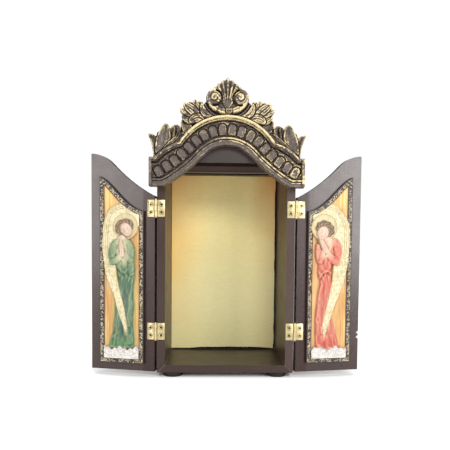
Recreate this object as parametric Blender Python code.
"""A tabletop shrine in triptych form.

An open-fronted wooden box stands on four round feet. A cast pediment arches over its front, and two
hinged doors with ogee tops carry a cast angel relief each. The doors stand open, a little past flat.

Lengths are in metres, apart from the carvings, whose own design sheets are in millimetres. The frame has
+X to the right, +Y towards the back and +Z up, with its origin on the ground under the shrine's middle.
"""
import math

import bmesh
import bpy
import numpy as np
from mathutils import Matrix

# Driving dimensions of the box
CASE_WIDTH = 0.164
NICHE_HEIGHT = 0.2411
NICHE_DEPTH = 0.0958
SIDE_BOARD = 0.0098
END_BOARD = 0.0091
BACKDROP_THICKNESS = 0.0016
BACK_THICKNESS = 0.004
GAP = 0.0003

# The yellow panel is cut a little small, so a dark slit shows beside and under it
BACKDROP_SIDE_SLIT = 0.0012
BACKDROP_FOOT_SLIT = 0.0018

# Feet
FOOT_RADIUS = 0.0125
FOOT_HEIGHT = 0.0057
FOOT_SHOULDER = 0.0012
FOOT_INSET = 0.002
FOOT_SIDE_INSET = 0.006
FOOT_SIDES = 12

# Pediment: how far it passes the box on each side, and its thickness
PEDIMENT_OVERHANG = 0.0086
PEDIMENT_DEPTH = 0.0167
LUNETTE_THICKNESS = 0.0024
LUNETTE_GAP = 0.0006

# Doors
DOOR_THICKNESS = 0.008
DOOR_MEETING_GAP = 0.0018
DOOR_FOOT_GAP = 0.0012
DOOR_PIN_GAP = 0.0018
DOOR_ARCH_CLEARANCE = 0.0066
DOOR_TOP_STEPS = 18
LEFT_OPEN_PAST_FLAT = math.radians(13.1)
RIGHT_OPEN_PAST_FLAT = math.radians(9.6)

# Hinges
HINGE_HEIGHT = 0.020
HINGE_PIN_RADIUS = 0.0007
HINGE_BARREL_RADIUS = 0.0016
HINGE_LEAF_THICKNESS = 0.0009
HINGE_LEAF_WIDTH = 0.0108
HINGE_AXIS_OUTSIDE = 0.0013
HINGE_UPPER_HEIGHT = 0.1961
HINGE_LOWER_HEIGHT = 0.0499
HINGE_SIDES = 9
PIN_HEAD_HEIGHT = 0.0009

# Screws
SCREW_HEAD_RADIUS = 0.0021
SCREW_SHANK_RADIUS = 0.0009
SCREW_LENGTH = 0.0065
SCREW_SPREAD = 0.0092
SCREW_FROM_PIN = 0.0066
SCREW_SIDES = 8

# Plaques, on the doors' inner faces
PLAQUE_WIDTH = 0.0556
PLAQUE_HEIGHT = 0.2243
PLAQUE_FROM_PIN = 0.0143
PLAQUE_LEFT_FOOT = 0.0104
PLAQUE_RIGHT_FOOT = 0.0120
PLAQUE_DEPTH_SCALE = 1.0

# Fineness of the carved pieces
PLAQUE_COLUMNS = 50
PLAQUE_ROWS = 190
PLAQUE_TRIANGLES = 1200
PEDIMENT_CELL = 1.15
PEDIMENT_TRIANGLES = 3300

# Sizes that follow
CASE_HEIGHT = NICHE_HEIGHT + 2 * END_BOARD
CASE_DEPTH = NICHE_DEPTH + BACKDROP_THICKNESS + GAP + BACK_THICKNESS
CASE_FLOOR_Z = FOOT_HEIGHT + GAP
CEILING_Z = CASE_FLOOR_Z + END_BOARD + NICHE_HEIGHT
HALF_WIDTH = CASE_WIDTH / 2
HALF_NICHE = HALF_WIDTH - SIDE_BOARD
FRONT_Y = (GAP + PEDIMENT_DEPTH - CASE_DEPTH) / 2
PIN_X = HALF_WIDTH + HINGE_AXIS_OUTSIDE
LEAF_BACK = HINGE_BARREL_RADIUS - GAP
LEAF_FACE = LEAF_BACK - HINGE_LEAF_THICKNESS
PIN_Y = FRONT_Y - HINGE_BARREL_RADIUS
DOOR_REACH = PIN_X - DOOR_MEETING_GAP / 2

# Design sheet of the pediment, in millimetres: x from the middle, z from the niche's ceiling
SHEET_HALF_WIDTH = 90.6
ARCH_TOP = 18.9
ARCH_RADIUS = 38.0
ARCH_TURN = math.radians(47)
SWEEP_RADIUS = 190.0
SWEEP_END = math.radians(27)
BLOCK_FOOT = -29.2
BLOCK_HEAD = 4.2
BLOCK_INNER = 73.0
ROLL_CENTRE = -13.1
ROLL_RADIUS = 65.7
ROLL_TURN = math.radians(58.5)
ROLL_END = (84.0, 4.0)
ROLL_BULGE = 2.0
COFFER_COUNT = 18
COFFER_PITCH = 11.2
COFFER_OFFSET = 17.2
COFFER_HALF = (4.4, 6.3)
VOLUTE_CENTRE = (15.0, 72.3)
VOLUTE_RADIUS = 9.8
VOLUTE_EYE = 7.6
VOLUTE_TURNS = (-75, 100)
SCROLL_CENTRE = 72.0
SCROLL_HALF = (24.3, 18.6)
SCROLL_HOLLOW = 0.66
SHELL_BASE = 59.0
SHELL_REACH = 36.2
SHELL_DROP = 7.6
SHELL_TURN = math.radians(38)
SHELL_RIBS = 9
PLATE_CENTRE = 42.0
PLATE_RADIUS = 36.5
PLATE_FOOT = 38.0
SHEET_TO_METRES = (HALF_WIDTH + PEDIMENT_OVERHANG) / SHEET_HALF_WIDTH
SHEET_DEPTH = 16.7

# Each leaf lobe: root, bend and tip, then its half-width at root, middle and tip
LOBES = [
    ((81.5, 3.0), (79.5, 22.0), (91.2, 30.3), (3.6, 7.0, 0.8), 12.0),
    ((79.0, 4.0), (73.5, 22.0), (70.8, 39.0), (3.0, 13.0, 3.6), 13.5),
    ((79.0, 5.0), (67.0, 20.0), (63.0, 37.5), (2.0, 8.0, 2.6), 12.0),
    ((60.5, 28.0), (59.0, 34.0), (58.8, 37.0), (3.0, 5.0, 5.2), 11.0),
    ((78.0, 6.0), (63.0, 18.0), (52.0, 30.5), (1.6, 8.0, 2.6), 13.0),
    ((43.0, 32.0), (47.0, 39.0), (51.0, 45.0), (5.0, 8.0, 3.0), 10.0),
    ((34.0, 40.0), (40.0, 42.0), (45.0, 44.0), (4.0, 6.0, 4.0), 9.0),
    ((47.0, 30.0), (52.0, 33.0), (57.0, 36.0), (4.0, 6.0, 4.0), 9.0),
    ((35.0, 49.0), (45.0, 45.0), (50.5, 51.5), (3.4, 7.0, 2.6), 12.0),
    ((35.0, 52.0), (44.0, 54.0), (52.6, 59.0), (3.2, 6.4, 2.4), 13.0),
    ((34.0, 53.0), (41.0, 58.0), (48.5, 64.5), (3.0, 7.6, 2.8), 14.0),
    ((33.5, 54.0), (39.0, 61.0), (43.0, 65.5), (3.0, 6.6, 2.6), 12.5),
    ((32.5, 54.0), (36.5, 61.0), (37.6, 69.2), (3.0, 6.6, 1.8), 13.0),
    ((31.0, 54.0), (32.0, 60.0), (31.5, 67.0), (3.0, 6.4, 2.8), 11.5),
    ((17.0, 51.5), (29.0, 51.5), (29.6, 64.5), (1.2, 6.4, 1.8), 14.5),
    ((27.0, 47.0), (34.0, 52.0), (42.0, 46.5), (3.0, 7.0, 3.0), 12.5),
]

# Design sheet of a plaque, in millimetres: a from its hinge edge, b from its foot
SHEET_PLAQUE_WIDTH = 55.6
SHEET_PLAQUE_HEIGHT = 224.3
PLAQUE_HINGE_HEIGHT = 182.6
PLAQUE_TOP_POWER = 1.25
FRAME_WIDTH = 5.6
GROUND_DEPTH = 3.0
FRAME_DEPTH = 5.2
CLOUD_TOP = 19.5
WING_TOP = 190.0

# Wing, robe and limbs of each angel: edges as (height, across) pairs, limbs as bent strokes
GREEN_ANGEL = {
    "halo": (22.3, 164.0, 15.6),
    "head": (20.6, 159.2, 7.9, 9.0, 12.0),
    "hair": (22.8, 162.4, 12.4, 9.8, -14.0),
    "neck": (26.5, 149.5, 4.6),
    "wing_out": [(36.0, 20.6), (51, 26.6), (65, 31.2), (77, 35.2), (91, 41.0), (104, 46.0), (119, 49.6),
                 (133, 51.6), (148, 51.8), (160, 50.6), (170, 48.2), (179, 43.5), (186, 35.5), (190, 26.0)],
    "wing_in": [(36.0, 20.2), (42, 19.4), (50, 20.3), (67, 23.2), (79, 26.2), (99, 31.4), (116, 34.0)],
    "robe_out": [(19, 43.5), (24.6, 42.2), (37, 38.6), (53, 36.4), (75, 35.0), (95, 31.6), (106, 31.4),
                 (118, 34.6), (134, 38.0), (147, 36.0), (151, 31.0)],
    "robe_in": [(19, 12.0), (30, 12.0), (45, 13.4), (55, 13.6), (69, 12.2), (80, 13.2), (95, 12.6),
                (105, 11.4), (112, 13.4), (124, 12.8), (142, 13.8), (148, 16.5), (151, 20.0)],
    "limbs": [
        ((35.0, 145.0), (43.5, 135.0), (37.4, 123.0), (4.6, 5.8, 4.6), 8.2),
        ((37.6, 122.4), (33.0, 122.0), (27.4, 131.0), (4.2, 5.2, 3.4), 9.0),
        ((18.0, 145.0), (11.5, 136.0), (15.4, 124.0), (3.8, 4.8, 4.2), 7.8),
        ((15.4, 124.6), (17.5, 124.0), (22.5, 131.0), (3.8, 4.6, 3.2), 8.6),
        ((15.0, 122.0), (15.0, 115.0), (14.6, 108.5), (3.4, 4.6, 3.6), 7.4),
    ],
    "hands": ((24.6, 129.5), (25.0, 138.0), (25.4, 148.5), (3.2, 4.4, 1.4), 9.6),
    "waist": 106.0,
    "folds": 4.0,
    "sway": 5.0,
}
CORAL_ANGEL = {
    "halo": (19.6, 163.6, 16.2),
    "head": (17.8, 158.8, 8.4, 8.6, 6.0),
    "hair": (20.0, 162.2, 12.0, 9.6, -12.0),
    "neck": (24.0, 148.5, 4.6),
    "wing_out": [(31.0, 21.6), (44, 25.4), (56, 29.8), (68, 33.6), (82, 39.4), (95, 44.2), (112, 48.8),
                 (126, 51.2), (142, 52.2), (158, 51.6), (168, 50.2), (177, 46.8), (185, 40.2), (191, 29.0)],
    "wing_in": [(31.0, 20.4), (42, 18.6), (55, 20.0), (68, 23.0), (85, 27.2), (98, 29.6), (116, 31.0)],
    "robe_out": [(16, 41.6), (32, 37.2), (45, 33.2), (55, 30.4), (76, 29.0), (97, 29.4), (107, 29.2),
                 (118, 30.4), (134, 33.5), (148, 33.0), (152, 28.0)],
    "robe_in": [(16, 11.6), (30, 11.0), (40, 10.6), (55, 10.6), (70, 12.0), (85, 13.4), (97, 15.6),
                (107, 13.0), (120, 12.6), (134, 10.6), (145, 12.5), (152, 18.0)],
    "limbs": [
        ((33.0, 146.5), (40.5, 136.0), (34.0, 123.5), (4.4, 5.6, 4.8), 8.2),
        ((34.0, 122.6), (30.0, 124.0), (22.6, 136.0), (4.6, 5.2, 3.4), 9.0),
        ((12.8, 141.0), (11.8, 131.0), (15.0, 122.0), (3.2, 4.0, 3.4), 7.6),
        ((15.0, 122.6), (17.0, 128.0), (18.6, 137.0), (3.2, 3.8, 2.8), 8.2),
    ],
    "hands": ((21.4, 135.5), (18.0, 142.5), (13.0, 150.5), (3.4, 4.4, 1.4), 9.6),
    "waist": 107.0,
    "folds": 4.0,
    "sway": -3.0,
}


def clear_scene():
    for old in list(bpy.data.objects):
        bpy.data.objects.remove(old)


def make_material(name, colour, roughness, metallic=0.0):
    material = bpy.data.materials.new(name)
    material.use_nodes = True
    shader = material.node_tree.nodes["Principled BSDF"]
    shader.inputs["Base Color"].default_value = (*colour, 1.0)
    shader.inputs["Roughness"].default_value = roughness
    shader.inputs["Metallic"].default_value = metallic
    return material


def add_object(name, vertices, faces, material, parent=None, smooth=False):
    mesh = bpy.data.meshes.new(name)
    mesh.from_pydata([tuple(v) for v in vertices], [], faces)
    shape = bmesh.new()
    shape.from_mesh(mesh)
    bmesh.ops.recalc_face_normals(shape, faces=shape.faces)
    shape.to_mesh(mesh)
    shape.free()
    mesh.materials.append(material)
    if smooth:
        mesh.shade_smooth()
        mesh.set_sharp_from_angle(angle=math.radians(35))
    piece = bpy.data.objects.new(name, mesh)
    bpy.context.scene.collection.objects.link(piece)
    piece.parent = parent
    return piece


def combine(piece, tool, operation):
    """Join a tool to a piece, or cut it away, and keep the result as the piece's mesh."""
    modifier = piece.modifiers.new(operation.title(), "BOOLEAN")
    modifier.operation = operation
    modifier.solver = "EXACT"
    modifier.object = tool
    graph = bpy.context.evaluated_depsgraph_get()
    result = bpy.data.meshes.new_from_object(piece.evaluated_get(graph))
    piece.modifiers.clear()
    piece.data = result
    bpy.data.objects.remove(tool)


def slab(name, outline, near, far, material, parent=None):
    """An outline in X and Z, extruded along Y from near to far."""
    count = len(outline)
    vertices = [(x, near, z) for x, z in outline] + [(x, far, z) for x, z in outline]
    faces = [list(range(count)), list(range(count, 2 * count))]
    for i in range(count):
        j = (i + 1) % count
        faces.append([i, j, count + j, count + i])
    return add_object(name, vertices, faces, material, parent)


def turned(name, profile, sides, place, material, parent=None):
    """A closed turned piece: profile is (radius, height) from foot to head, place maps it to its frame."""
    vertices = []
    for radius, height in profile:
        for k in range(sides):
            angle = 2 * math.pi * k / sides
            vertices.append(place(radius * math.cos(angle), radius * math.sin(angle), height))
    last = (len(profile) - 1) * sides
    faces = [list(range(sides)), list(range(last, last + sides))]
    for ring in range(len(profile) - 1):
        for k in range(sides):
            a = ring * sides + k
            b = ring * sides + (k + 1) % sides
            faces.append([a, b, b + sides, a + sides])
    return add_object(name, vertices, faces, material, parent, smooth=True)


def ogee_points(steps):
    """The pediment's lower edge for x >= 0: an arch that turns into a wide hollow sweep."""
    arch = [t * ARCH_TURN / steps for t in range(steps)]
    points = [(ARCH_RADIUS * math.sin(t), ARCH_TOP - ARCH_RADIUS * (1 - math.cos(t))) for t in arch]
    start_x = ARCH_RADIUS * math.sin(ARCH_TURN)
    start_z = ARCH_TOP - ARCH_RADIUS * (1 - math.cos(ARCH_TURN))
    for k in range(steps + 1):
        turn = ARCH_TURN + (SWEEP_END - ARCH_TURN) * k / steps
        points.append((start_x + SWEEP_RADIUS * (math.sin(ARCH_TURN) - math.sin(turn)),
                       start_z - SWEEP_RADIUS * (math.cos(turn) - math.cos(ARCH_TURN))))
    return np.array(points)


def ogee_height(x):
    """Height of the lower edge above the niche's ceiling, in sheet millimetres."""
    points = ogee_points(24)
    return np.interp(np.abs(x), points[:, 0], points[:, 1])


def band_place(distance, offset):
    """Point and direction of a line that runs along the lower edge, offset outwards from it."""
    along = abs(distance)
    arch_radius = ARCH_RADIUS + offset
    sweep_radius = SWEEP_RADIUS - offset
    if along < arch_radius * ARCH_TURN:
        turn = along / arch_radius
        x = arch_radius * math.sin(turn)
        z = ARCH_TOP - ARCH_RADIUS + arch_radius * math.cos(turn)
    else:
        turn = ARCH_TURN - (along - arch_radius * ARCH_TURN) / sweep_radius
        x = arch_radius * math.sin(ARCH_TURN) + sweep_radius * (math.sin(ARCH_TURN) - math.sin(turn))
        z = ARCH_TOP - ARCH_RADIUS + arch_radius * math.cos(ARCH_TURN)
        z -= sweep_radius * (math.cos(turn) - math.cos(ARCH_TURN))
    return math.copysign(x, distance), z, math.copysign(turn, distance)


def foot_points(steps):
    """The whole lower edge for x >= 0: the ogee, then the flat underside of the end block."""
    ogee = [tuple(p) for p in ogee_points(steps) if p[0] < BLOCK_INNER]
    return np.array(ogee + [(BLOCK_INNER + 0.6, BLOCK_FOOT), (SHEET_HALF_WIDTH + 8, BLOCK_FOOT)])


def roll_points(steps):
    """The outer edge of the big roll moulding for x >= 0: an arch, a kink and a flared end."""
    points = []
    for k in range(steps + 1):
        turn = ROLL_TURN * k / steps
        points.append((ROLL_RADIUS * math.sin(turn), ROLL_CENTRE + ROLL_RADIUS * math.cos(turn)))
    x0, z0 = points[-1]
    x1, z1 = ROLL_END
    for k in range(1, steps + 1):
        t = k / steps
        lift = ROLL_BULGE * 4 * t * (1 - t)
        points.append((x0 + (x1 - x0) * t + lift * 0.5, z0 + (z1 - z0) * t + lift))
    return np.array(points)


def distance_to(points, x, z):
    """Distance from each point of a sheet to an open line."""
    best = np.full(x.shape, 1e9)
    for (ax, az), (bx, bz) in zip(points[:-1], points[1:]):
        dx, dz = bx - ax, bz - az
        t = np.clip(((x - ax) * dx + (z - az) * dz) / (dx * dx + dz * dz), 0, 1)
        best = np.minimum(best, np.hypot(x - ax - t * dx, z - az - t * dz))
    return best


def dome(d, radius):
    """Round cross-section: 1 in the middle, 0 at the radius."""
    return np.sqrt(np.clip(1 - (d / radius) ** 2, 0, 1))


def stroke(x, z, root, bend, tip, widths, steps=10):
    """Nearness to a bent stroke: 0 on its spine, 1 at its edge, with its local half-width and place."""
    near = np.full(x.shape, 1e9)
    width = np.ones(x.shape)
    place = np.zeros(x.shape)
    side = np.zeros(x.shape)

    def spine(t):
        weights = ((1 - t) ** 2, 2 * t * (1 - t), t * t)
        return [sum(w * p[i] for w, p in zip(weights, (root, bend, tip))) for i in (0, 1)]

    for k in range(steps):
        ax, az = spine(k / steps)
        bx, bz = spine((k + 1) / steps)
        dx, dz = bx - ax, bz - az
        t = np.clip(((x - ax) * dx + (z - az) * dz) / (dx * dx + dz * dz), 0, 1)
        s = (k + t) / steps
        w = widths[0] * (1 - s) ** 2 + widths[1] * 2 * s * (1 - s) + widths[2] * s * s
        q = np.hypot(x - ax - t * dx, z - az - t * dz) / w
        closer = q < near
        near = np.where(closer, q, near)
        width = np.where(closer, w, width)
        place = np.where(closer, s, place)
        side = np.where(closer, np.sign((x - ax) * dz - (z - az) * dx), side)
    return near, width, place, side


def coffer_edge(x, z):
    """Signed distance to the nearest of the round-topped panels in a row along the band."""
    edge = np.full(x.shape, 1e9)
    for k in range(COFFER_COUNT):
        cx, cz, turn = band_place((k - (COFFER_COUNT - 1) / 2) * COFFER_PITCH, COFFER_OFFSET)
        across = (x - cx) * math.cos(turn) - (z - cz) * math.sin(turn)
        along = (x - cx) * math.sin(turn) + (z - cz) * math.cos(turn)
        corner = np.where(along > 0, 3.6, 1.2)
        qx = np.abs(across) - COFFER_HALF[0] + corner
        qz = np.abs(along) - COFFER_HALF[1] + corner
        box = np.hypot(np.maximum(qx, 0), np.maximum(qz, 0)) + np.minimum(np.maximum(qx, qz), 0) - corner
        edge = np.minimum(edge, box)
    return edge


def pediment_features(x_signed, z):
    """Every form of the pediment as (signed distance to its outline, depth)."""
    x = np.abs(x_signed)
    lower = foot_points(16)
    above = distance_to(lower, x, z) * np.where(z > np.interp(x, lower[:, 0], lower[:, 1]), 1, -1)
    upper = roll_points(14)
    below = distance_to(upper, x, z) * np.where(z < np.interp(x, upper[:, 0], upper[:, 1]), 1, -1)
    coffer = coffer_edge(x_signed, z)
    outer = SHEET_HALF_WIDTH - x

    band = np.full(x.shape, 11.2)
    band = np.where(coffer < 1.0, 10.3, band)
    band = np.where(coffer < 0, 14.0, band)
    band = np.where(coffer < -1.4, 13.0, band)
    band = np.where(above < 9.8, 10.3, band)
    band = np.where(above < 8.7, 12.6 + 1.8 * dome(above - 7.4, 1.35), band)
    band = np.where(above < 6.1, 11.6, band)
    band = np.where(above < 5.6, 12.6 + 1.2 * dome(above - 4.6, 1.0), band)
    band = np.where(above < 3.7, 12.6, band)
    band = np.where(below < 6.6, np.minimum(band, 10.3), band)
    band = np.where(below < 5.4, 12.6 + 4.1 * dome(below - 2.4, 3.2), band)
    in_block = x > BLOCK_INNER + 5
    band = np.where(in_block & (z > BLOCK_HEAD - 4.4) & (below < 1), 15.2, band)
    band = np.where(in_block & (outer < 4.0), 15.8, band)
    features = [(np.maximum.reduce([-above, -below, -outer]), band)]
    block = np.maximum.reduce([BLOCK_INNER + 6 - x, -outer, -above, z - BLOCK_HEAD])
    features.append((block, band))

    plate = np.hypot(x, z - PLATE_CENTRE) - PLATE_RADIUS
    features.append((np.maximum(plate, PLATE_FOOT - z), np.full(x.shape, 8.0)))

    for root, bend, tip, widths, depth in LOBES:
        near, width, place, side = stroke(x, z, root, bend, tip, widths)
        channel = 0.78 + 0.22 * np.clip(near / 0.55, 0, 1) ** 2
        features.append(((near - 1) * width, depth * channel * (0.62 + 0.38 * dome(near, 1.04))))

    ring = np.hypot(x / SCROLL_HALF[0], (z - SCROLL_CENTRE) / SCROLL_HALF[1])
    edge = np.maximum.reduce([(ring - 1) * 19, (SCROLL_HOLLOW - ring) * 19, z - SCROLL_CENTRE])
    round_off = dome(ring - (1 + SCROLL_HOLLOW) / 2, (1 - SCROLL_HOLLOW) * 0.56)
    features.append((edge, 11.2 + 3.4 * round_off))

    reach = np.hypot(x, z - SHELL_BASE)
    fan = np.arctan2(x, z - SHELL_BASE)
    rib = np.abs(np.cos(fan / SHELL_TURN * SHELL_RIBS * math.pi / 4))
    rim = SHELL_REACH - SHELL_DROP * (fan / SHELL_TURN) ** 0.7 - 1.0 * (1 - rib)
    shell = np.maximum(reach - rim, (fan - SHELL_TURN) * reach)
    features.append((shell, 9.3 + 3.4 * np.clip(reach / SHELL_REACH, 0, 1) + 1.8 * rib))
    return features


def volute_depth(x, z):
    """Depth inside the two volutes, which replaces whatever lies under them; 0 elsewhere."""
    across = np.abs(x) - VOLUTE_CENTRE[0]
    up = z - VOLUTE_CENTRE[1]
    radius = np.hypot(across, up)
    turn = np.degrees(np.arctan2(up, across))
    groove = (radius < VOLUTE_RADIUS) & ((turn > VOLUTE_TURNS[1]) | (turn < VOLUTE_TURNS[0]))
    depth = np.where(groove, 8.8, 0)
    band = (radius < VOLUTE_RADIUS) & ~groove
    depth = np.where(band, 12.4 + 3.2 * dome(radius - VOLUTE_RADIUS * 0.55, VOLUTE_RADIUS * 0.5), depth)
    eye = 12.6 + 4.0 * dome(radius, VOLUTE_EYE * 1.06)
    return np.where(radius < VOLUTE_EYE, eye, depth)


def pediment_sheet(x, z):
    """Outline (negative inside) and depth of the whole pediment."""
    features = pediment_features(x, z)
    outline = np.minimum.reduce([edge for edge, depth in features])
    outline = np.minimum(outline, np.hypot(np.abs(x) - VOLUTE_CENTRE[0], z - VOLUTE_CENTRE[1]) - VOLUTE_RADIUS)
    solid = np.zeros(x.shape)
    for edge, depth in features:
        solid = np.maximum(solid, np.where(edge < 0.5, depth, 0))
    volutes = volute_depth(x, z)
    solid = np.where(volutes > 0, volutes, solid)
    return outline, np.clip(solid, 5.0, SHEET_DEPTH)


def clipped_cells(xs, zs, sheet):
    """Cut a regular grid along an outline: points, polygons and depth."""
    grid_x, grid_z = np.meshgrid(xs, zs, indexing="ij")
    cell = xs[1] - xs[0]
    outline = sheet(grid_x, grid_z)[0]
    slope_x, slope_z = np.gradient(outline, cell)
    steep = np.maximum(slope_x ** 2 + slope_z ** 2, 0.2)
    near = np.abs(outline) < 0.32 * cell
    grid_x = np.where(near, grid_x - outline * slope_x / steep, grid_x)
    grid_z = np.where(near, grid_z - outline * slope_z / steep, grid_z)
    inside = (outline < 0) | near
    points = [tuple(p) for p in np.stack([grid_x, grid_z], -1).reshape(-1, 2)]
    columns = len(zs)
    crossings = {}

    def crossing(a, b):
        key = (min(a, b), max(a, b))
        if key not in crossings:
            fa, fb = outline.flat[a], outline.flat[b]
            t = fa / (fa - fb)
            pa, pb = points[a], points[b]
            crossings[key] = len(points)
            points.append((pa[0] + (pb[0] - pa[0]) * t, pa[1] + (pb[1] - pa[1]) * t))
        return crossings[key]

    polygons = []
    strict = (outline < 0) & ~near
    for i in range(len(xs) - 1):
        for j in range(columns - 1):
            corners = [i * columns + j, (i + 1) * columns + j, (i + 1) * columns + j + 1, i * columns + j + 1]
            if not any(strict.flat[c] for c in corners):
                continue
            polygon = []
            for a, b in zip(corners, corners[1:] + corners[:1]):
                if inside.flat[a]:
                    polygon.append(a)
                if strict.flat[a] != strict.flat[b] and not (near.flat[a] or near.flat[b]):
                    polygon.append(crossing(a, b))
            if len(polygon) > 2:
                polygons.append(polygon)
    return points, polygons


def relief_solid(name, points, polygons, depth, place, triangles, material, parent=None):
    """A solid with a carved front and a flat back, thinned to about the given number of triangles."""
    used = sorted({p for polygon in polygons for p in polygon})
    index = {p: k for k, p in enumerate(used)}
    count = len(used)
    vertices = [place(points[p][0], points[p][1], depth[p]) for p in used]
    vertices += [place(points[p][0], points[p][1], 0.0) for p in used]
    faces = []
    open_edges = set()
    for polygon in polygons:
        loop = [index[p] for p in polygon]
        faces.append(loop)
        faces.append([k + count for k in reversed(loop)])
        for a, b in zip(loop, loop[1:] + loop[:1]):
            if (b, a) in open_edges:
                open_edges.remove((b, a))
            else:
                open_edges.add((a, b))
    faces += [[b, a, a + count, b + count] for a, b in sorted(open_edges)]
    piece = add_object(name, vertices, faces, material, parent)
    shape = bmesh.new()
    shape.from_mesh(piece.data)
    bmesh.ops.triangulate(shape, faces=shape.faces)
    shape.to_mesh(piece.data)
    shape.free()
    thin = piece.modifiers.new("Thin", "DECIMATE")
    thin.ratio = min(1.0, triangles / len(piece.data.polygons))
    return piece


def make_pediment(material):
    edge = SHEET_HALF_WIDTH + 4.0
    columns = math.ceil(2 * edge / PEDIMENT_CELL)
    xs = np.linspace(-edge, edge, columns + 1)
    rows = math.ceil((SHELL_BASE + SHELL_REACH - BLOCK_FOOT + 6) / PEDIMENT_CELL)
    zs = BLOCK_FOOT - 3 + np.arange(rows + 1) * (xs[1] - xs[0])
    points, polygons = clipped_cells(xs, zs, pediment_sheet)
    flat = np.array(points)
    depth = pediment_sheet(flat[:, 0], flat[:, 1])[1]
    scale = SHEET_TO_METRES
    thick = PEDIMENT_DEPTH / SHEET_DEPTH

    def place(x, z, d):
        return x * scale, FRONT_Y - GAP - d * thick, CEILING_Z + z * scale

    return relief_solid("pediment", points, polygons, depth, place, PEDIMENT_TRIANGLES, material)


def plaque_top(a):
    """Height of a plaque's top edge, which sweeps up towards the outer edge."""
    rise = SHEET_PLAQUE_HEIGHT - PLAQUE_HINGE_HEIGHT
    share = np.clip(a / SHEET_PLAQUE_WIDTH, 0, 1) ** PLAQUE_TOP_POWER
    return PLAQUE_HINGE_HEIGHT + rise * ((1 - np.cos(share * math.pi)) / 2 + share) / 2


def oval(a, b, centre_a, centre_b, half_a, half_b, tilt_degrees):
    tilt = math.radians(tilt_degrees)
    u = (a - centre_a) * math.cos(tilt) + (b - centre_b) * math.sin(tilt)
    v = (b - centre_b) * math.cos(tilt) - (a - centre_a) * math.sin(tilt)
    return np.hypot(u / half_a, v / half_b)


def edge_at(b, pairs):
    """Across position of an edge at each height: a smooth line through (height, across) pairs."""
    heights, across = (np.array(column, float) for column in zip(*pairs))
    slopes = np.gradient(across, heights)
    k = np.clip(np.searchsorted(heights, b) - 1, 0, len(pairs) - 2)
    span = heights[k + 1] - heights[k]
    t = np.clip((b - heights[k]) / span, 0, 1)
    start, end = across[k], across[k + 1]
    lead = slopes[k] * span * t * (1 - t) ** 2
    trail = slopes[k + 1] * span * t * t * (1 - t)
    return start + (end - start) * t * t * (3 - 2 * t) + lead - trail


def between(a, b, outer, inner, high):
    """Share of the way across a form from its inner to its outer edge, and where it exists."""
    far = edge_at(b, outer)
    near = edge_at(b, inner)
    across = (a - near) / np.maximum(far - near, 0.5)
    return across, (b > outer[0][0]) & (b < high) & (across > 0) & (across < 1)


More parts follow.
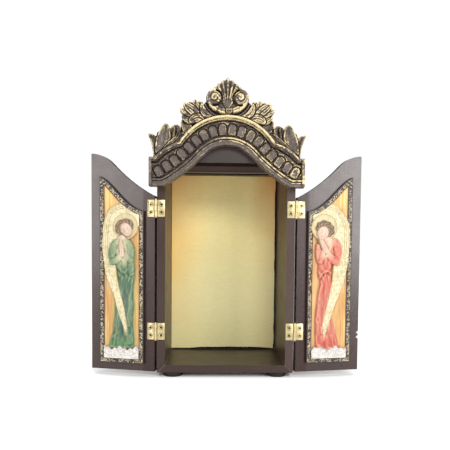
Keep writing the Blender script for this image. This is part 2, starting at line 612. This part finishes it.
def plaque_depth(a, b, angel):
    """Depth of the angel relief at each point of the design sheet."""
    top = plaque_top(a)
    line = np.linspace(0, SHEET_PLAQUE_WIDTH, 60)
    slope = np.interp(a, line, np.gradient(plaque_top(line), line))
    rim = np.minimum.reduce([a, SHEET_PLAQUE_WIDTH - a, b, (top - b) / np.hypot(1, slope)])
    depth = np.full(a.shape, GROUND_DEPTH)
    halo_a, halo_b, halo_radius = angel["halo"]
    from_halo = np.hypot(a - halo_a, b - halo_b)

    across, wing = between(a, b, angel["wing_out"], angel["wing_in"], WING_TOP)
    wing &= (b < 118) | (from_halo < 29.5) | (b < 160)
    feathers = 0.35 * np.abs(np.sin(across * math.pi * 4))
    rings = 0.5 * np.clip(np.cos((from_halo - 28) * 1.7), 0, 1) * (b > 150)
    wing_depth = 4.0 + np.where(b > 150, rings, feathers)
    depth = np.where(wing, np.maximum(depth, wing_depth), depth)

    frame = FRAME_DEPTH - 0.9 * (np.clip(np.abs(rim - FRAME_WIDTH / 2) / (FRAME_WIDTH / 2), 0, 1)) ** 3
    depth = np.where(rim < FRAME_WIDTH, np.where(wing & (b < 172), np.maximum(depth, frame), frame), depth)

    halo = 4.9 + 0.4 * (from_halo > halo_radius - 1.6)
    depth = np.where((from_halo < halo_radius) & (rim > 0.6), np.maximum(depth, halo), depth)

    across, robe = between(a, b, angel["robe_out"], angel["robe_in"], angel["robe_out"][-1][0])
    waist = angel["waist"]
    swing = angel["folds"] * across + angel["sway"] * np.sin(b / 38.0) * 0.16
    folds = 0.7 * np.cos(swing * 2 * math.pi) * np.clip((waist + 12 - b) / 30, 0.2, 1)
    gather = 0.9 * np.exp(-((b - waist) / 2.6) ** 2)
    body = 4.4 + 2.8 * np.sqrt(np.clip(1 - (2 * across - 1) ** 2, 0, 1)) + folds - gather
    behind = wing & (b < 118)
    depth = np.where(behind, np.maximum(depth, wing_depth + 1.6), depth)
    depth = np.where(robe & ~behind, np.maximum(depth, body), depth)

    cloud_edge = CLOUD_TOP + 1.1 * np.sin(a * 0.31 + angel["sway"]) + 0.6 * np.sin(a * 0.83)
    puffs = 5.2 + 0.5 * np.sin(a * 0.55) * np.cos(b * 0.5) + 0.3 * np.sin(a * 1.3 + b)
    depth = np.where((b < cloud_edge) & (rim > FRAME_WIDTH), np.maximum(depth, puffs), depth)

    for root, bend, tip, widths, lift in angel["limbs"]:
        near, width, place, side = stroke(a, b, root, bend, tip, widths)
        depth = np.where(near < 1, np.maximum(depth, lift - 2.6 * (1 - dome(near, 1.0))), depth)
    root, bend, tip, widths, lift = angel["hands"]
    near, width, place, side = stroke(a, b, root, bend, tip, widths)
    palms = lift - 2.4 * (1 - dome(near, 1.0)) - 0.7 * (near < 0.14)
    depth = np.where(near < 1, np.maximum(depth, palms), depth)

    neck = np.hypot(a - angel["neck"][0], b - angel["neck"][1]) / angel["neck"][2]
    depth = np.where(neck < 1, np.maximum(depth, 5.4 + 1.6 * dome(neck, 1.0)), depth)
    hair = oval(a, b, *angel["hair"])
    depth = np.where(hair < 1, np.maximum(depth, 5.2 + 3.0 * dome(hair, 1.0)), depth)
    face = oval(a, b, *angel["head"])
    depth = np.where(face < 1, np.maximum(depth, 6.2 + 3.1 * dome(face, 1.0)), depth)
    return depth


def make_plaque(name, side, foot, angel, material, parent):
    """One plaque, placed against its door's inner face in the closed door's frame."""
    columns, rows = PLAQUE_COLUMNS, PLAQUE_ROWS
    points = []
    for i in range(columns + 1):
        a = SHEET_PLAQUE_WIDTH * i / columns
        high = float(plaque_top(a))
        points += [(a, high * j / rows) for j in range(rows + 1)]
    line = rows + 1
    polygons = []
    for i in range(columns):
        for j in range(rows):
            first = i * line + j
            polygons.append([first, first + line, first + line + 1, first + 1])
    flat = np.array(points)
    depth = plaque_depth(flat[:, 0], flat[:, 1], angel) * PLAQUE_DEPTH_SCALE
    wide = PLAQUE_WIDTH / SHEET_PLAQUE_WIDTH
    high = PLAQUE_HEIGHT / SHEET_PLAQUE_HEIGHT
    seat = -HINGE_BARREL_RADIUS + GAP
    base = CASE_FLOOR_Z + foot

    def place(a, b, d):
        return side * (PLAQUE_FROM_PIN + a * wide), seat + d * wide, base + b * high

    return relief_solid(name, points, polygons, depth, place, PLAQUE_TRIANGLES, material, parent)


def mitred_case(material):
    """Four boards that meet in mitres, with a hairline gap in each."""
    low, high = CASE_FLOOR_Z, CASE_FLOOR_Z + CASE_HEIGHT
    slope = math.hypot(SIDE_BOARD, END_BOARD)
    drop = GAP * slope / SIDE_BOARD
    near, far = FRONT_Y, FRONT_Y + CASE_DEPTH
    pieces = {}
    for name, side in (("case_side_left", -1), ("case_side_right", 1)):
        outline = [(side * HALF_WIDTH, low + drop), (side * HALF_NICHE, low + END_BOARD + drop),
                   (side * HALF_NICHE, high - END_BOARD - drop), (side * HALF_WIDTH, high - drop)]
        pieces[side] = slab(name, outline, near, far, material)
    for name, outer, inner in (("case_bottom", low, low + END_BOARD), ("case_top", high, high - END_BOARD)):
        outline = [(-HALF_WIDTH, outer), (HALF_WIDTH, outer), (HALF_NICHE, inner), (-HALF_NICHE, inner)]
        slab(name, outline, near, far, material)
    return pieces


def make_back(wood, paint):
    """The back board, let in between the four boards, and the painted panel in front of it."""
    low = CASE_FLOOR_Z + END_BOARD
    high = CEILING_Z
    far = FRONT_Y + CASE_DEPTH
    wide = HALF_NICHE - GAP
    outline = [(-wide, low + GAP), (wide, low + GAP), (wide, high - GAP), (-wide, high - GAP)]
    slab("case_back", outline, far - BACK_THICKNESS, far, wood)
    left = -HALF_NICHE + GAP
    right = HALF_NICHE - BACKDROP_SIDE_SLIT
    foot = low + BACKDROP_FOOT_SLIT
    outline = [(left, foot), (right, foot), (right, high - GAP), (left, high - GAP)]
    near = FRONT_Y + NICHE_DEPTH
    slab("backdrop_panel", outline, near, near + BACKDROP_THICKNESS, paint)


def make_lunette(material):
    """The thin board that fills the arch, standing on the line of the niche's ceiling."""
    scale = SHEET_TO_METRES
    curve = [(x * scale, z * scale - LUNETTE_GAP) for x, z in ogee_points(10)]
    half = [p for p in curve if p[1] > LUNETTE_GAP]
    reach = float(np.interp(0, [-p[1] for p in curve], [p[0] for p in curve]))
    half.append((reach - LUNETTE_GAP / 2, 0.0))
    outline = [(x, CEILING_Z + z) for x, z in half]
    outline += [(-x, z) for x, z in reversed(outline) if x > 0]
    slab("lunette_board", outline, FRONT_Y - GAP - LUNETTE_THICKNESS, FRONT_Y - GAP, material)


def make_foot(name, x, y, material):
    profile = [(FOOT_RADIUS - FOOT_SHOULDER, 0.0), (FOOT_RADIUS, FOOT_SHOULDER),
               (FOOT_RADIUS, FOOT_HEIGHT - FOOT_SHOULDER / 2), (FOOT_RADIUS - FOOT_SHOULDER / 2, FOOT_HEIGHT)]

    def place(u, v, height):
        return x + u, y + v, height

    return turned(name, profile, FOOT_SIDES, place, material)


def make_door(name, side, material, parent):
    """A door in its closed frame: the pin is at the origin and the inner face looks back."""
    scale = SHEET_TO_METRES
    low = CASE_FLOOR_Z + DOOR_FOOT_GAP
    outline = [(side * DOOR_PIN_GAP, low), (side * DOOR_REACH, low)]
    for k in range(DOOR_TOP_STEPS + 1):
        reach = DOOR_REACH + (DOOR_PIN_GAP - DOOR_REACH) * k / DOOR_TOP_STEPS
        rise = float(ogee_height((PIN_X - reach) / scale)) * scale
        outline.append((side * reach, CEILING_Z + rise - DOOR_ARCH_CLEARANCE))
    outer = -HINGE_BARREL_RADIUS - DOOR_THICKNESS
    return slab(name, outline, outer, -HINGE_BARREL_RADIUS, material, parent)


def screw_cutter(place, depth):
    """Clearance for a screw: a countersink in the leaf and a pilot hole behind it."""
    extra = GAP * 1.15
    mouth = LEAF_FACE - 0.0002
    profile = [(SCREW_SHANK_RADIUS + extra, depth), (SCREW_SHANK_RADIUS + extra, HINGE_BARREL_RADIUS),
               (SCREW_HEAD_RADIUS + extra, LEAF_FACE), (SCREW_HEAD_RADIUS + extra, mouth)]
    return turned("screw_cutter", profile, SCREW_SIDES, place, None)


def screw_places(side, forward, height):
    """Frames of the two screws of one leaf: u and v across the screw, w into the wood."""
    places = []
    for k in (-1, 1):
        centre_z = height + k * SCREW_SPREAD / 2

        def place(u, v, w, centre_z=centre_z):
            return side * (SCREW_FROM_PIN + u), forward * w, centre_z + v

        places.append(place)
    return places


def make_leaf(name, side, forward, height, own_ends, material, parent):
    """A hinge leaf with its knuckles: both ends for the box's leaf, the middle for the door's."""
    third = HINGE_HEIGHT / 3
    low, high = height - HINGE_HEIGHT / 2, height + HINGE_HEIGHT / 2
    spans = [(low, low + third - GAP / 2), (high - third + GAP / 2, high)]
    if not own_ends:
        spans = [(low + third + GAP / 2, high - third - GAP / 2)]
    clear = HINGE_BARREL_RADIUS + GAP
    tongue = HINGE_PIN_RADIUS
    if own_ends:
        edge = [(tongue, low), (tongue, spans[0][1]), (clear, spans[0][1]), (clear, spans[1][0]),
                (tongue, spans[1][0]), (tongue, high)]
    else:
        edge = [(clear, low), (clear, spans[0][0]), (tongue, spans[0][0]), (tongue, spans[0][1]),
                (clear, spans[0][1]), (clear, high)]
    outline = [(side * x, z) for x, z in edge + [(HINGE_LEAF_WIDTH, high), (HINGE_LEAF_WIDTH, low)]]
    near, far = sorted((forward * LEAF_FACE, forward * LEAF_BACK))
    leaf = slab(name, outline, near, far, material, parent)

    def axis(u, v, w):
        return u, v, w

    for bottom, top in spans:
        profile = [(HINGE_BARREL_RADIUS, bottom), (HINGE_BARREL_RADIUS, top)]
        combine(leaf, turned("knuckle", profile, HINGE_SIDES, axis, material, parent), "UNION")
    bore = HINGE_PIN_RADIUS + GAP
    profile = [(bore, low - GAP), (bore, high + GAP)]
    combine(leaf, turned("bore", profile, HINGE_SIDES, axis, material, parent), "DIFFERENCE")
    for place in screw_places(side, forward, height):
        cutter = screw_cutter(place, LEAF_BACK + GAP)
        cutter.parent = parent
        combine(leaf, cutter, "DIFFERENCE")
    return leaf


def make_screw(name, place, material, parent):
    profile = [(SCREW_SHANK_RADIUS * 0.8, LEAF_FACE + SCREW_LENGTH),
               (SCREW_SHANK_RADIUS, HINGE_BARREL_RADIUS), (SCREW_HEAD_RADIUS, LEAF_FACE + GAP / 3)]
    return turned(name, profile, SCREW_SIDES, place, material, parent)


def make_pin(name, height, material, parent):
    low, high = height - HINGE_HEIGHT / 2, height + HINGE_HEIGHT / 2
    head = HINGE_PIN_RADIUS * 1.9
    profile = [(head * 0.6, low - GAP - PIN_HEAD_HEIGHT), (head, low - GAP - PIN_HEAD_HEIGHT / 2),
               (head, low - GAP), (HINGE_PIN_RADIUS, low - GAP), (HINGE_PIN_RADIUS, high + GAP),
               (head, high + GAP), (head, high + GAP + PIN_HEAD_HEIGHT / 2),
               (head * 0.6, high + GAP + PIN_HEAD_HEIGHT)]

    def axis(u, v, w):
        return u, v, w

    return turned(name, profile, HINGE_SIDES, axis, material, parent)


def add_frame(name, x, y, turn):
    frame = bpy.data.objects.new(name, None)
    frame.matrix_world = Matrix.Translation((x, y, 0)) @ Matrix.Rotation(turn, 4, "Z")
    bpy.context.scene.collection.objects.link(frame)
    return frame


def hang_door(label, side, opened, foot, angel, boards, looks):
    """One side of the shrine: door, plaque, hinges and screws, with the door standing open."""
    fixed = add_frame(f"hinge_line_{label}", side * -PIN_X, PIN_Y, 0)
    moving = add_frame(f"door_axis_{label}", side * -PIN_X, PIN_Y, -side * opened)
    bpy.context.view_layer.update()
    door = make_door(f"door_{label}", side, looks["paint"], moving)
    make_plaque(f"plaque_{label}", side, foot, angel, looks["cast"], moving)
    for level, middle in (("upper", HINGE_UPPER_HEIGHT), ("lower", HINGE_LOWER_HEIGHT)):
        height = CASE_FLOOR_Z + middle
        stem = f"hinge_{label}_{level}"
        make_leaf(f"{stem}_case_leaf", side, 1, height, True, looks["brass"], fixed)
        make_leaf(f"{stem}_door_leaf", side, -1, height, False, looks["brass"], moving)
        make_pin(f"{stem}_pin", height, looks["brass"], fixed)
        for part, forward, frame, wood in (("case", 1, fixed, boards[-side]), ("door", -1, moving, door)):
            for k, place in enumerate(screw_places(side, forward, height)):
                cutter = screw_cutter(place, LEAF_FACE + SCREW_LENGTH + GAP)
                cutter.parent = frame
                bpy.context.view_layer.update()
                combine(wood, cutter, "DIFFERENCE")
                position = ("low", "high")[k]
                make_screw(f"screw_{label}_{level}_{part}_{position}", place, looks["screw"], frame)


def main():
    clear_scene()
    paint = make_material("dark_paint", (0.09, 0.065, 0.058), 0.4)
    backdrop = make_material("yellow_paint", (0.66, 0.58, 0.25), 0.6)
    bronze = make_material("bronze_paint", (0.14, 0.11, 0.08), 0.45)
    cast = make_material("plaque_paint", (0.75, 0.5, 0.22), 0.55)
    brass = make_material("brass", (0.82, 0.72, 0.42), 0.3, 1.0)
    screw = make_material("screw_brass", (0.75, 0.65, 0.36), 0.35, 1.0)
    rubber = make_material("foot_rubber", (0.02, 0.02, 0.02), 0.7)
    boards = mitred_case(paint)
    make_back(paint, backdrop)
    make_lunette(paint)
    make_pediment(bronze)
    foot_x = HALF_WIDTH - FOOT_SIDE_INSET - FOOT_RADIUS
    front = FRONT_Y + FOOT_INSET + FOOT_RADIUS
    back = FRONT_Y + CASE_DEPTH - FOOT_INSET - FOOT_RADIUS
    for name, y in (("front", front), ("back", back)):
        make_foot(f"foot_{name}_left", -foot_x, y, rubber)
        make_foot(f"foot_{name}_right", foot_x, y, rubber)
    looks = {"paint": paint, "cast": cast, "brass": brass, "screw": screw}
    left_turn = math.pi + LEFT_OPEN_PAST_FLAT
    right_turn = math.pi + RIGHT_OPEN_PAST_FLAT
    hang_door("left", 1, left_turn, PLAQUE_LEFT_FOOT, GREEN_ANGEL, boards, looks)
    hang_door("right", -1, right_turn, PLAQUE_RIGHT_FOOT, CORAL_ANGEL, boards, looks)


main()
